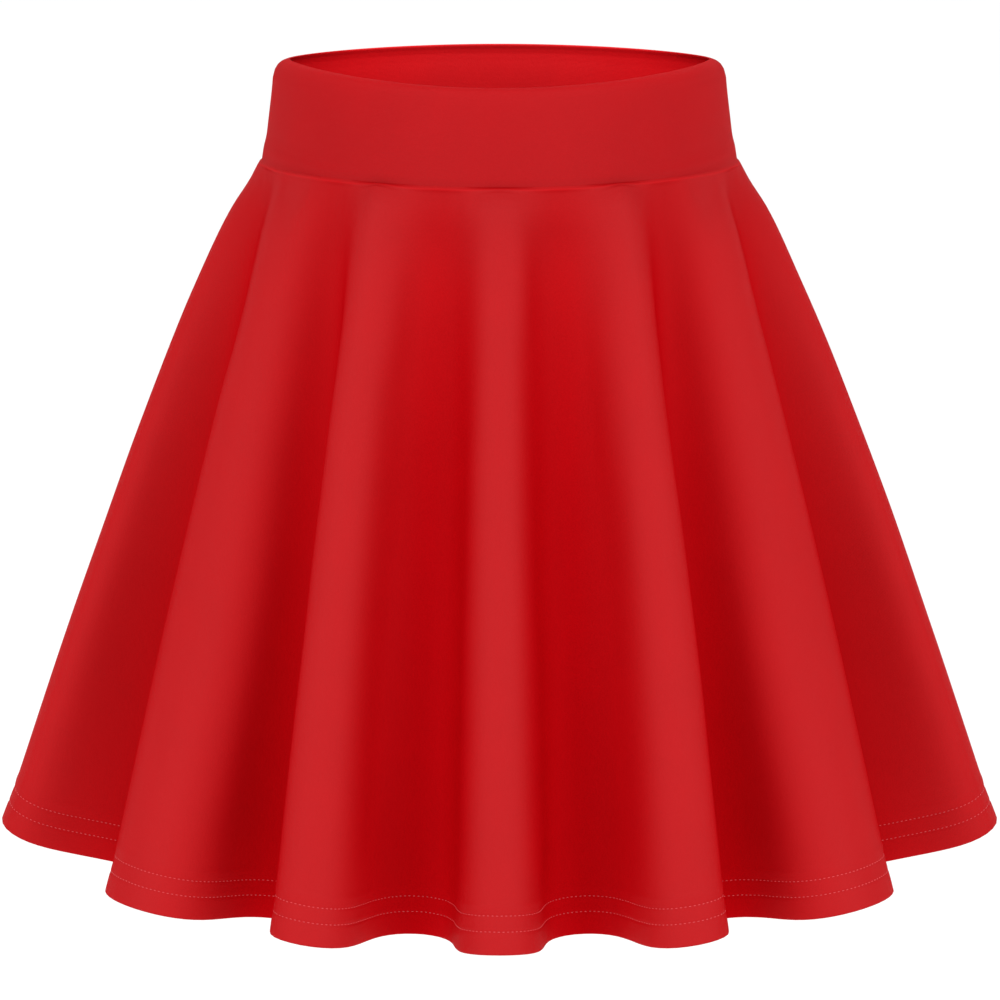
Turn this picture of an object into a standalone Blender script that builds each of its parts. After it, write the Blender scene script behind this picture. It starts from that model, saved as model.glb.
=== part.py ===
"""Circle skirt: a wide doubled waistband and a flared skirt that hangs in twelve soft folds.

Metres, +Z up. The origin is the middle of the open waist, at the height of the waistband's top edge.
The front faces -Y. The skirt is open at the waist and at the hem, and keeps the shape of a worn one.
"""

import math

import bmesh
import bpy
import numpy as np

# Waistband.
BAND_HEIGHT = 0.050            # top fold down to the waist seam
BAND_WALL = 0.0030             # two layers of cloth
BAND_DEPTH_RATIO = 0.7765      # front to back size over side to side size
BAND_PINCH = 0.35              # pinch of the band's oval at the waist seam
RIM_PINCH = 0.60               # pinch of the band's oval at its top edge
RIM_RISE = 0.0045              # how much higher the top edge is at the sides than in front
BACK_RISE = 0.0017             # how much higher the top edge is at the back than in front
SIDE_SHARPNESS = 6             # power of the bearing's sine that keeps the rounder shoulder to the sides
BAND_COLUMNS = 36              # columns in each half

# Skirt.
SKIRT_LENGTH = 0.400           # waist seam to hem, measured along the cloth
SKIRT_WALL = 0.0015            # one layer of cloth
HEM_WALL = 0.0027              # where the hem is turned up inside
HEM_DEPTH = 0.026              # depth of the turned-up hem
HEM_ROUND = 0.0007             # how far the edge's corners are rounded back
SKIRT_CUT_SHARE = 0.518        # share of a full circle that the skirt is cut from
SKIRT_COLUMNS = 72             # columns in each panel
LENGTH_STEPS = 66              # fine steps that carry the length down each line of the cloth
SETTLE_RATE = 1.28             # how soon the folds reach their places, in skirt lengths
SIDE_SEAM_TURN = 99.0          # degrees of cut from the middle of the front to each side seam of the skirt
SEAM_GAP = 0.0003              # clearance between pieces that are sewn together
LEAST_DROP = 0.1               # least share of each fine step that goes downwards
TINY_TURN = 1.0e-4             # step in radians for slopes round the cut
OVAL_ENTRIES = 1441            # entries in the length table round an oval
MEANDER_SAMPLES = 48           # samples of half a turn in each Bessel sum
SWING_ENTRIES = 300            # entries in the table of swings
MOST_SWING = 2.2               # largest swing in the table, in radians
SHARP_EDGE = 50.0              # degrees between faces above which an edge stays sharp
CLOTH_ROUGHNESS = 0.85

COLOURS = {
    "waistband_front": (0.52, 0.016, 0.021, 1.0),
    "waistband_back": (0.50, 0.015, 0.020, 1.0),
    "skirt_front": (0.55, 0.017, 0.022, 1.0),
    "skirt_back": (0.53, 0.016, 0.021, 1.0),
}

# Waistband, row by row: height down from the top edge over the band's height, and half width.
BAND_ROWS = (
    {"down": 0.000, "half_width": 0.1201},
    {"down": 0.250, "half_width": 0.1211},
    {"down": 0.500, "half_width": 0.1227},
    {"down": 0.750, "half_width": 0.1246},
    {"down": 0.900, "half_width": 0.1263},
    {"down": 1.000, "half_width": 0.1275},
)

# Waistband section: height down from the top edge in metres, how far the wall leans in there at the middle
# and at the sides to round the shoulder, and how far each of its faces draws in towards the other.
BAND_SECTION = (
    {"down": 0.0002, "lean": 0.00220, "side_lean": 0.00600, "inset": 0.00075},
    {"down": 0.0011, "lean": 0.00150, "side_lean": 0.00430, "inset": 0.00010},
    {"down": 0.0026, "lean": 0.00080, "side_lean": 0.00240, "inset": 0.00000},
    {"down": 0.0050, "lean": 0.00020, "side_lean": 0.00090, "inset": 0.00000},
    {"down": 0.0090, "lean": 0.00000, "side_lean": 0.00000, "inset": 0.00000},
    {"down": 0.0200, "lean": 0.00000, "side_lean": 0.00000, "inset": 0.00000},
    {"down": 0.0310, "lean": 0.00000, "side_lean": 0.00000, "inset": 0.00000},
    {"down": 0.0415, "lean": 0.00000, "side_lean": 0.00000, "inset": 0.00000},
    {"down": BAND_HEIGHT - 0.0008, "lean": 0.00000, "side_lean": 0.00000, "inset": 0.00000},
    {"down": BAND_HEIGHT, "lean": 0.00000, "side_lean": 0.00000, "inset": 0.00050},
)

# Skirt, level by level: distance down the cloth over its length, and the oval that the folds run along.
SKIRT_LEVELS = (
    {"down": 0.00, "half_width": 0.1275, "half_depth": 0.0990, "pinch": 0.35},
    {"down": 0.03, "half_width": 0.1308, "half_depth": 0.1022, "pinch": 0.33},
    {"down": 0.08, "half_width": 0.1389, "half_depth": 0.1013, "pinch": 0.30},
    {"down": 0.20, "half_width": 0.1544, "half_depth": 0.1034, "pinch": 0.32},
    {"down": 0.40, "half_width": 0.1782, "half_depth": 0.1106, "pinch": 0.29},
    {"down": 0.65, "half_width": 0.2066, "half_depth": 0.1258, "pinch": 0.31},
    {"down": 1.00, "half_width": 0.2445, "half_depth": 0.1341, "pinch": 0.05},
)

# Skirt rows, down the cloth in metres from the waist seam. The last two carry the rounded hem.
SKIRT_ROWS = (
    {"down": 0.0000, "wall": SKIRT_WALL},
    {"down": 0.0060, "wall": SKIRT_WALL},
    {"down": 0.0150, "wall": SKIRT_WALL},
    {"down": 0.0290, "wall": SKIRT_WALL},
    {"down": 0.0480, "wall": SKIRT_WALL},
    {"down": 0.0740, "wall": SKIRT_WALL},
    {"down": 0.1060, "wall": SKIRT_WALL},
    {"down": 0.1440, "wall": SKIRT_WALL},
    {"down": 0.1860, "wall": SKIRT_WALL},
    {"down": 0.2300, "wall": SKIRT_WALL},
    {"down": 0.2740, "wall": SKIRT_WALL},
    {"down": 0.3180, "wall": SKIRT_WALL},
    {"down": SKIRT_LENGTH - HEM_DEPTH - 0.0010, "wall": SKIRT_WALL},
    {"down": SKIRT_LENGTH - HEM_DEPTH, "wall": HEM_WALL},
    {"down": SKIRT_LENGTH - HEM_ROUND, "wall": HEM_WALL},
)

# Crests and troughs of the folds by turns, once round from the crest in the middle of the front: the cut
# angle of the cloth that makes each at the waist and at the hem, and where it stands at the hem, in degrees.
FOLD_LINES = (
    {"waist": 0.0, "cut": 0.0, "hem": 0.0},
    {"waist": 16.0, "cut": 14.1, "hem": 11.0},
    {"waist": 32.9, "cut": 28.1, "hem": 22.6},
    {"waist": 49.0, "cut": 44.9, "hem": 32.8},
    {"waist": 62.6, "cut": 58.9, "hem": 48.1},
    {"waist": 79.6, "cut": 76.4, "hem": 73.0},
    {"waist": 97.6, "cut": 97.1, "hem": 97.6},
    {"waist": 110.3, "cut": 110.1, "hem": 115.0},
    {"waist": 123.0, "cut": 123.0, "hem": 132.4},
    {"waist": 136.5, "cut": 136.5, "hem": 144.9},
    {"waist": 150.0, "cut": 150.0, "hem": 157.3},
    {"waist": 165.0, "cut": 165.0, "hem": 168.7},
    {"waist": 180.4, "cut": 180.4, "hem": 179.6},
    {"waist": 195.0, "cut": 195.0, "hem": 191.3},
    {"waist": 209.6, "cut": 209.6, "hem": 202.2},
    {"waist": 223.5, "cut": 223.5, "hem": 215.1},
    {"waist": 236.9, "cut": 236.9, "hem": 227.6},
    {"waist": 249.7, "cut": 249.9, "hem": 245.0},
    {"waist": 262.4, "cut": 262.9, "hem": 262.4},
    {"waist": 280.4, "cut": 283.6, "hem": 287.0},
    {"waist": 297.4, "cut": 301.1, "hem": 311.9},
    {"waist": 311.0, "cut": 315.1, "hem": 327.2},
    {"waist": 327.1, "cut": 331.9, "hem": 337.4},
    {"waist": 344.0, "cut": 345.9, "hem": 349.0},
)


def column(table, name):
    """Returns one named column of a table as an array."""
    return np.array([row[name] for row in table], dtype=float)


def round_spline(knots, values, at):
    """Returns a smooth closed curve through values at knots (radians, one turn), read at the turns `at`."""
    count = len(knots)
    gaps = np.diff(np.append(knots, knots[0] + math.tau))
    rises = np.diff(np.append(values, values[0])) / gaps
    bend_matrix = np.zeros((count, count))
    for i in range(count):
        bend_matrix[i, i - 1] += gaps[i - 1]
        bend_matrix[i, i] += 2.0 * (gaps[i - 1] + gaps[i])
        bend_matrix[i, (i + 1) % count] += gaps[i]
    bends = np.linalg.solve(bend_matrix, 6.0 * (rises - np.roll(rises, 1)))
    turn = np.mod(at - knots[0], math.tau) + knots[0]
    left = np.clip(np.searchsorted(knots, turn, side="right") - 1, 0, count - 1)
    right = (left + 1) % count
    gap = gaps[left]
    near = turn - knots[left]
    far = gap - near
    cubic = (bends[left] * far ** 3 + bends[right] * near ** 3) / (6.0 * gap)
    line_left = (values[left] / gap - bends[left] * gap / 6.0) * far
    line_right = (values[right] / gap - bends[right] * gap / 6.0) * near
    return cubic + line_left + line_right


def row_curve(stations, values, at):
    """Returns a smooth open curve through values at stations, read at one place."""
    slopes = np.gradient(values, stations)
    left = int(np.clip(np.searchsorted(stations, at, side="right") - 1, 0, len(stations) - 2))
    gap = stations[left + 1] - stations[left]
    share = (at - stations[left]) / gap
    start = (1.0 + 2.0 * share) * (1.0 - share) ** 2 * values[left]
    start_slope = share * (1.0 - share) ** 2 * gap * slopes[left]
    end = share ** 2 * (3.0 - 2.0 * share) * values[left + 1]
    end_slope = share ** 2 * (share - 1.0) * gap * slopes[left + 1]
    return start + start_slope + end + end_slope


def bessel(order, swing):
    """Returns the Bessel function that sums a meander's swing (radians) over one fold."""
    angles = (np.arange(MEANDER_SAMPLES) + 0.5) * math.pi / MEANDER_SAMPLES
    waves = np.cos(order * angles[:, None] - np.sin(angles)[:, None] * np.ravel(swing)[None, :])
    return waves.mean(axis=0).reshape(np.shape(swing))


SWING_TABLE = np.linspace(0.0, MOST_SWING, SWING_ENTRIES)
SHARE_TABLE = bessel(0, SWING_TABLE)


def swing_for(share):
    """Returns the swing whose meander packs cloth into `share` of its own length."""
    return np.interp(-np.clip(share, SHARE_TABLE[-1], 1.0), -SHARE_TABLE, SWING_TABLE)


def fold_phase(cut, down):
    """Returns the fold count in radians at a share of the length: half a turn from a crest to its trough."""
    waist = np.radians(column(FOLD_LINES, "waist"))
    hem = np.radians(column(FOLD_LINES, "cut"))
    knots = waist + (hem - waist) * down
    lines = len(knots)
    folds = 0.5 * lines
    return folds * cut + round_spline(knots, np.arange(lines) * math.pi - folds * knots, cut)


def hem_bearing(cut):
    """Returns where the cloth of a cut angle stands at the hem."""
    knots = np.radians(column(FOLD_LINES, "cut"))
    return cut + round_spline(knots, np.radians(column(FOLD_LINES, "hem")) - knots, cut)


class Oval:
    """An oval round the body, with its length measured off from the middle of the front.

    Its pinch is 0 for an ellipse and nears 1 for two bows that meet at the sides.
    """

    def __init__(self, half_width, half_depth, pinch):
        """Makes the oval and its length table."""
        self.half_width = half_width
        self.half_depth = half_depth
        self.pinch = pinch
        self.bearings = np.linspace(0.0, math.tau, OVAL_ENTRIES)
        x, y = self.place(self.bearings, 0.0)
        lengths = np.hypot(np.diff(x), np.diff(y))
        self.lengths = np.append(0.0, np.cumsum(lengths))
        self.girth = self.lengths[-1]

    def share_at(self, bearing):
        """Returns the share of the girth passed at a bearing."""
        whole = np.floor(bearing / math.tau)
        part = np.interp(bearing - whole * math.tau, self.bearings, self.lengths / self.girth)
        return whole + part

    def bearing_at(self, share):
        """Returns the bearing where a share of the girth is passed."""
        return np.interp(np.mod(share, 1.0), self.lengths / self.girth, self.bearings)

    def place(self, bearing, outward):
        """Returns x and y of points at a bearing, moved straight out from the oval."""
        sine = np.sin(bearing)
        cosine = np.cos(bearing)
        bow = 1.0 - self.pinch + self.pinch * np.abs(cosine)
        bow_slope = 1.0 - self.pinch + 2.0 * self.pinch * np.abs(cosine)
        along_x = self.half_width * cosine
        along_y = self.half_depth * bow_slope * sine
        length = np.hypot(along_x, along_y)
        x = self.half_width * sine + outward * along_y / length
        y = -self.half_depth * bow * cosine - outward * along_x / length
        return x, y


def level_oval(down):
    """Returns the oval that the folds run along at a share of the skirt's length."""
    stations = column(SKIRT_LEVELS, "down")
    half_width = row_curve(stations, column(SKIRT_LEVELS, "half_width"), down)
    half_depth = row_curve(stations, column(SKIRT_LEVELS, "half_depth"), down)
    pinch = row_curve(stations, column(SKIRT_LEVELS, "pinch"), down)
    return Oval(half_width, half_depth, pinch)


def folded_level(cut, down):
    """Returns x and y of the cloth at cut angles and a share of the length: the meander on its oval."""
    oval = level_oval(down)
    waist = level_oval(0.0).girth / math.tau
    settled = math.sin(0.5 * math.pi * min(1.0, SETTLE_RATE * down))

    def middle_share(turn):
        """Returns the share of the girth where the cloth of a cut angle would lie without its fold."""
        return (1.0 - settled) * turn / math.tau + settled * oval.share_at(hem_bearing(turn))

    cloth = waist + SKIRT_CUT_SHARE * down * SKIRT_LENGTH
    rise = middle_share(cut + TINY_TURN) - middle_share(cut - TINY_TURN)
    chord = oval.girth * rise / (2.0 * TINY_TURN)
    phase = fold_phase(cut, down)
    phase_rise = fold_phase(cut + TINY_TURN, down) - fold_phase(cut - TINY_TURN, down)
    phase_rate = phase_rise / (2.0 * TINY_TURN)
    swing = swing_for(chord / cloth)
    reach = cloth / phase_rate
    outward = 2.0 * reach * bessel(1, swing) * np.cos(phase)
    sideways = reach * bessel(2, swing) * np.sin(2.0 * phase)
    bearing = oval.bearing_at(middle_share(cut) + sideways / oval.girth)
    return oval.place(bearing, outward)


def skirt_lines(cut):
    """Returns the skirt's outer face as steps x columns x 3, each column keeping the skirt's length."""
    lines = np.zeros((LENGTH_STEPS + 1, len(cut), 3))
    step = SKIRT_LENGTH / LENGTH_STEPS
    height = np.full(len(cut), -BAND_HEIGHT)
    for i in range(LENGTH_STEPS + 1):
        lines[i, :, 0], lines[i, :, 1] = folded_level(cut, i / LENGTH_STEPS)
        if i > 0:
            level_move = np.sum((lines[i, :, :2] - lines[i - 1, :, :2]) ** 2, axis=1)
            height = height - np.sqrt(np.maximum(step ** 2 - level_move, (LEAST_DROP * step) ** 2))
        lines[i, :, 2] = height
    return lines


# --- solids ---

def unit(vectors):
    """Returns vectors of length one."""
    return vectors / np.linalg.norm(vectors, axis=-1, keepdims=True)


def part_ends(face, gap):
    """Moves the two end columns of a face inward along the face, to leave a gap at each seam."""
    face[:, 0] += unit(face[:, 1] - face[:, 0]) * 0.5 * gap
    face[:, -1] += unit(face[:, -2] - face[:, -1]) * 0.5 * gap


def build_wall(name, outer, inner, edges):
    """Makes one closed solid from an outer and an inner face.

    Each face is rows x columns x 3, from the top down. `edges` maps "top" or "bottom" to a row of
    points that rounds that edge.
    """
    rows, columns = outer.shape[:2]
    mesh = bmesh.new()
    outside = [[mesh.verts.new(point) for point in row] for row in outer]
    inside = [[mesh.verts.new(point) for point in row] for row in inner]
    for i in range(rows - 1):
        for j in range(columns - 1):
            mesh.faces.new((outside[i][j], outside[i + 1][j], outside[i + 1][j + 1], outside[i][j + 1]))
            mesh.faces.new((inside[i][j + 1], inside[i + 1][j + 1], inside[i + 1][j], inside[i][j]))
        mesh.faces.new((inside[i][0], inside[i + 1][0], outside[i + 1][0], outside[i][0]))
        mesh.faces.new((outside[i][-1], outside[i + 1][-1], inside[i + 1][-1], inside[i][-1]))
    for place, row in (("top", 0), ("bottom", rows - 1)):
        near, far = (inside[row], outside[row]) if place == "top" else (outside[row], inside[row])
        if place in edges:
            middle = [mesh.verts.new(point) for point in edges[place]]
            for j in range(columns - 1):
                mesh.faces.new((near[j], middle[j], middle[j + 1], near[j + 1]))
                mesh.faces.new((middle[j], far[j], far[j + 1], middle[j + 1]))
            mesh.faces.new((middle[0], near[0], far[0]))
            mesh.faces.new((near[-1], middle[-1], far[-1]))
        else:
            for j in range(columns - 1):
                mesh.faces.new((near[j], far[j], far[j + 1], near[j + 1]))
    bmesh.ops.recalc_face_normals(mesh, faces=mesh.faces)
    data = bpy.data.meshes.new(name)
    mesh.to_mesh(data)
    mesh.free()
    data.shade_smooth()
    data.set_sharp_from_angle(angle=math.radians(SHARP_EDGE))
    piece = bpy.data.objects.new(name, data)
    bpy.context.scene.collection.objects.link(piece)
    piece.data.materials.append(cloth_material(name))
    return piece


def cloth_material(name):
    """Returns the piece's own matt cloth material."""
    material = bpy.data.materials.new(name + "_cloth")
    material.use_nodes = True
    shader = material.node_tree.nodes["Principled BSDF"]
    shader.inputs["Base Color"].default_value = COLOURS[name]
    shader.inputs["Roughness"].default_value = CLOTH_ROUGHNESS
    return material


def build_skirt_panel(name, start, end):
    """Makes the skirt's front or back, the cloth between two cut angles in radians."""
    turn = (end - start) / SKIRT_COLUMNS
    lines = skirt_lines(np.linspace(start - turn, end + turn, SKIRT_COLUMNS + 3))
    outward = unit(np.cross(np.gradient(lines, axis=0), np.gradient(lines, axis=1)))[:, 1:-1]
    lines = lines[:, 1:-1]

    def read(grid, down):
        """Returns the row of a grid at a distance down the cloth."""
        place = min(down / SKIRT_LENGTH * LENGTH_STEPS, LENGTH_STEPS - 1.0e-9)
        above = int(place)
        return grid[above] + (grid[above + 1] - grid[above]) * (place - above)

    outer = np.array([read(lines, row["down"]) for row in SKIRT_ROWS])
    normals = unit(np.array([read(outward, row["down"]) for row in SKIRT_ROWS]))
    inner = outer - normals * column(SKIRT_ROWS, "wall")[:, None, None]
    edge = (lines[-1] - outward[-1] * 0.5 * HEM_WALL)[None]
    outer[0, :, 2] = -BAND_HEIGHT - SEAM_GAP
    inner[0, :, 2] = -BAND_HEIGHT - SEAM_GAP
    for face in (outer, inner, edge):
        part_ends(face, SEAM_GAP)
    return build_wall(name, outer, inner, {"bottom": edge[0]})


def band_row(row, bearings, outward):
    """Returns the points of one row of the waistband at some distance out from its outer face."""
    share = row["down"] / BAND_HEIGHT
    half_width = row_curve(column(BAND_ROWS, "down"), column(BAND_ROWS, "half_width"), share)
    oval = Oval(half_width, half_width * BAND_DEPTH_RATIO, RIM_PINCH + (BAND_PINCH - RIM_PINCH) * share)
    side = np.abs(np.sin(bearings)) ** SIDE_SHARPNESS
    lean = row["lean"] + (row["side_lean"] - row["lean"]) * side
    x, y = oval.place(bearings, outward - lean)
    back = 0.5 - 0.5 * np.cos(bearings)
    sweep = np.sin(bearings) ** 2
    rise = RIM_RISE * sweep + BACK_RISE * back * (1.0 - sweep)
    return np.stack([x, y, rise * (1.0 - share) - row["down"]], axis=1)


def build_band_half(name, start, end):
    """Makes half of the waistband between two bearings in radians, with a rounded fold at its top."""
    bearings = np.linspace(start, end, BAND_COLUMNS + 1)
    outer = np.array([band_row(row, bearings, -row["inset"]) for row in BAND_SECTION])
    inner = np.array([band_row(row, bearings, row["inset"] - BAND_WALL) for row in BAND_SECTION])
    edge = band_row(BAND_SECTION[0], bearings, -0.5 * BAND_WALL)[None]
    edge[:, :, 2] += BAND_SECTION[0]["down"]
    for face in (outer, inner, edge):
        part_ends(face, SEAM_GAP)
    return build_wall(name, outer, inner, {"top": edge[0]})


def main():
    """Clears the scene and builds the four pieces."""
    for old in list(bpy.data.objects):
        bpy.data.objects.remove(old, do_unlink=True)
    side = 0.5 * math.pi
    seam = math.radians(SIDE_SEAM_TURN)
    build_band_half("waistband_front", -side, side)
    build_band_half("waistband_back", side, 3.0 * side)
    build_skirt_panel("skirt_front", -seam, seam)
    build_skirt_panel("skirt_back", seam, math.tau - seam)


main()
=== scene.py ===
"""Circle skirt: the cloth, its seams and stitching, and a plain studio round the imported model.

Metres, +Z up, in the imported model's own frame. The front faces -Y. The waistband is a folded strip in two
halves, and the skirt is two shaped panels that hang in soft folds to a turned-up hem.
"""

import logging
import math
from dataclasses import dataclass
from enum import Enum

import bpy
import numpy as np
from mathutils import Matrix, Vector


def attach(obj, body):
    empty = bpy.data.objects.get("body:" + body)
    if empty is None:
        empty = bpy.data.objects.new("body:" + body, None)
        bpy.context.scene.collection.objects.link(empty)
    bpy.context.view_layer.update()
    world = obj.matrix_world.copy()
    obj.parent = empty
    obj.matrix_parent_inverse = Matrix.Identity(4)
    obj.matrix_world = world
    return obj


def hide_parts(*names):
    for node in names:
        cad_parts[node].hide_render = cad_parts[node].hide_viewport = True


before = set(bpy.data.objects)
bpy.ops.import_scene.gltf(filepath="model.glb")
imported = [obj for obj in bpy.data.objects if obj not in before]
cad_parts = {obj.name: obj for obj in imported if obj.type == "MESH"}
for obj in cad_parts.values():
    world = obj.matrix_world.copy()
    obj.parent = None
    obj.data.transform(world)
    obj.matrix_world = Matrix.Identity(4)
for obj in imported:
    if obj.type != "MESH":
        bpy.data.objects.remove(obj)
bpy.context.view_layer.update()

logging.basicConfig(level=logging.INFO, format="%(levelname)s %(message)s")
LOG = logging.getLogger("circle_skirt")


class Span(Enum):
    """The stretch round the skirt that a piece goes along, between its two side seams in degrees."""

    BAND_FRONT = (-90.0, 90.0)
    BAND_BACK = (90.0, 270.0)
    SKIRT_FRONT = (-99.0, 99.0)
    SKIRT_BACK = (99.0, 261.0)


@dataclass(frozen=True)
class Level:
    """One level of the skirt: the oval that its folds run along there."""

    down: float
    half_width: float
    half_depth: float
    pinch: float


@dataclass(frozen=True)
class FoldLine:
    """A fold's crest or trough, in degrees: its cloth at the waist and at the hem, and its bearing there."""

    waist: float
    cut: float
    hem: float


@dataclass(frozen=True)
class Lean:
    """The waistband's shoulder at one height: how far it leans in at the middle and at the sides."""

    down: float
    middle: float
    side: float


@dataclass(frozen=True)
class Crease:
    """A soft ridge (or trough, where its height is negative) that runs down the cloth."""

    cut: float
    start: float
    end: float
    drift: float
    width: float
    height: float


@dataclass(frozen=True)
class Ridge:
    """A line that stands out of the cloth (or is sunk, where its height is negative) along a seam or an edge."""

    place: float
    width: float
    height: float

    def at(self, distances: np.ndarray | float) -> np.ndarray | float:
        """Returns how far it stands out at distances from its seam or edge."""
        return self.height * bump(distances, self.place, self.width)


@dataclass(frozen=True)
class Ripple:
    """Uneven puckers along a seam: waves multiplied together, and one finer wave added.

    Each wave is its count round the waist and its start in radians. The finer one has its share before them.
    """

    ridge: Ridge
    waves: tuple[tuple[float, float], ...]
    finer: tuple[float, float, float] = (0.0, 0.0, 0.0)

    def at(self, angles: np.ndarray, distances: np.ndarray | float) -> np.ndarray:
        """Returns how far they stand out at angles round the waist and at distances from their seam."""
        share, finer_count, finer_start = self.finer
        heights = np.ones_like(angles)
        for count, start in self.waves:
            heights = heights * np.sin(angles * count + start)
        return (heights + share * np.sin(angles * finer_count + finer_start)) * self.ridge.at(distances)


# The skirt's ovals, from the waist seam (0) to the hem (1).
SKIRT_LEVELS = (
    Level(0.00, 0.1275, 0.0990, 0.35),
    Level(0.03, 0.1308, 0.1022, 0.33),
    Level(0.08, 0.1389, 0.1013, 0.30),
    Level(0.20, 0.1544, 0.1034, 0.32),
    Level(0.40, 0.1782, 0.1106, 0.29),
    Level(0.65, 0.2066, 0.1258, 0.31),
    Level(1.00, 0.2445, 0.1341, 0.05),
)

# The folds, a crest first and a trough next, once round the body from the middle of the front.
FOLD_LINES = (
    FoldLine(0.0, 0.0, 0.0),
    FoldLine(16.0, 14.1, 11.0),
    FoldLine(32.9, 28.1, 22.6),
    FoldLine(49.0, 44.9, 32.8),
    FoldLine(62.6, 58.9, 48.1),
    FoldLine(79.6, 76.4, 73.0),
    FoldLine(97.6, 97.1, 97.6),
    FoldLine(110.3, 110.1, 115.0),
    FoldLine(123.0, 123.0, 132.4),
    FoldLine(136.5, 136.5, 144.9),
    FoldLine(150.0, 150.0, 157.3),
    FoldLine(165.0, 165.0, 168.7),
    FoldLine(180.4, 180.4, 179.6),
    FoldLine(195.0, 195.0, 191.3),
    FoldLine(209.6, 209.6, 202.2),
    FoldLine(223.5, 223.5, 215.1),
    FoldLine(236.9, 236.9, 227.6),
    FoldLine(249.7, 249.9, 245.0),
    FoldLine(262.4, 262.9, 262.4),
    FoldLine(280.4, 283.6, 287.0),
    FoldLine(297.4, 301.1, 311.9),
    FoldLine(311.0, 315.1, 327.2),
    FoldLine(327.1, 331.9, 337.4),
    FoldLine(344.0, 345.9, 349.0),
)

# The waistband's rounded shoulder, by the height below its top edge.
BAND_SHOULDER = (
    Lean(0.0002, 0.00220, 0.00600),
    Lean(0.0011, 0.00150, 0.00430),
    Lean(0.0026, 0.00080, 0.00240),
    Lean(0.0050, 0.00020, 0.00090),
    Lean(0.0090, 0.00000, 0.00000),
    Lean(0.0500, 0.00000, 0.00000),
)

# The waistband's half width, by the share of its height below its top edge.
BAND_HALF_WIDTHS = ((0.0, 0.1201), (0.25, 0.1211), (0.5, 0.1227), (0.75, 0.1246), (0.9, 0.1263), (1.0, 0.1275))

# The creases: cut angle, where each starts and ends down the cloth, drift, width, height.
CREASES = (
    Crease(-95.0, 0.020, 0.240, 2.0, 0.010, 0.0010),
    Crease(-79.0, 0.120, 0.392, -1.5, 0.013, 0.0012),
    Crease(-70.5, 0.015, 0.130, 1.5, 0.009, -0.0008),
    Crease(-62.5, 0.030, 0.210, 1.0, 0.008, 0.0009),
    Crease(-52.0, 0.150, 0.380, -1.0, 0.012, 0.0010),
    Crease(-35.5, 0.060, 0.260, -0.8, 0.008, 0.0010),
    Crease(-26.0, 0.020, 0.110, 1.2, 0.009, 0.0009),
    Crease(-22.0, 0.170, 0.395, 1.4, 0.011, -0.0009),
    Crease(-4.5, 0.080, 0.300, -0.8, 0.008, 0.0007),
    Crease(5.0, 0.010, 0.090, 0.6, 0.008, 0.0008),
    Crease(8.5, 0.210, 0.396, -0.9, 0.010, 0.0008),
    Crease(24.5, 0.040, 0.180, -1.2, 0.009, 0.0009),
    Crease(35.0, 0.110, 0.340, 1.0, 0.009, 0.0009),
    Crease(47.5, 0.020, 0.120, -0.9, 0.010, -0.0008),
    Crease(53.5, 0.180, 0.390, 1.3, 0.012, 0.0010),
    Crease(63.0, 0.030, 0.190, -1.1, 0.008, 0.0009),
    Crease(76.5, 0.140, 0.394, 1.6, 0.012, 0.0011),
    Crease(97.5, 0.050, 0.280, -1.5, 0.011, 0.0011),
    Crease(112.0, 0.160, 0.390, 1.0, 0.012, -0.0010),
    Crease(128.0, 0.030, 0.200, -1.2, 0.009, 0.0010),
    Crease(144.5, 0.100, 0.350, 1.4, 0.010, 0.0009),
    Crease(156.0, 0.020, 0.130, -0.8, 0.009, 0.0009),
    Crease(171.5, 0.190, 0.396, 0.9, 0.011, -0.0009),
    Crease(185.0, 0.040, 0.240, 1.1, 0.009, 0.0009),
    Crease(201.0, 0.120, 0.370, -1.3, 0.011, 0.0010),
    Crease(214.0, 0.020, 0.140, 1.0, 0.009, -0.0008),
    Crease(231.5, 0.060, 0.290, -0.9, 0.010, 0.0010),
    Crease(246.0, 0.170, 0.392, 1.5, 0.012, 0.0010),
    Crease(256.5, 0.020, 0.150, 0.8, 0.009, 0.0008),
)

# The skirt mesh's rows below the waist seam: start, end and step. They are close over the seam's roll.
ROLL_ROWS = (0.0, 0.0049, 0.00045)
PUCKER_ROWS = (0.0055, 0.014, 0.0010)
BODY_START = 0.014
BODY_ROWS = 82
HEM_STEP = 0.0007
HEM_MARGIN = 0.004
EDGE_MARGIN = 0.0016
EDGE_SHARES = (1.0, 0.70, 0.42, 0.20, 0.06, 0.0)

# The waist seam's radius in the flat cut, and the thin roll beside it, where the skirt's colour also carries a
# painted highlight line.
WAIST_RADIUS = 0.2141
SEAM_EDGE_PLACE = 0.0017
SEAM_EDGE_WIDTH = 0.0011

FLAT_CUT = "flat_cut"
PAINTED_GLOSS_SHADE = "painted_gloss_shade"
SHARP_ANGLE = math.radians(60.0)


def unit(vectors: np.ndarray) -> np.ndarray:
    """Returns vectors of length one."""
    return vectors / np.maximum(np.linalg.norm(vectors, axis=-1, keepdims=True), 1.0e-12)


def ease(values: np.ndarray, low: float, high: float) -> np.ndarray:
    """Returns a smooth rise from 0 at `low` to 1 at `high`."""
    share = np.clip((values - low) / (high - low), 0.0, 1.0)
    return share * share * (3.0 - 2.0 * share)


def bump(values: np.ndarray, middle: np.ndarray | float, width: float) -> np.ndarray:
    """Returns a soft bell of height 1 at `middle`, about `width` wide each way."""
    return np.exp(-((values - middle) / width) ** 2)


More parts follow.
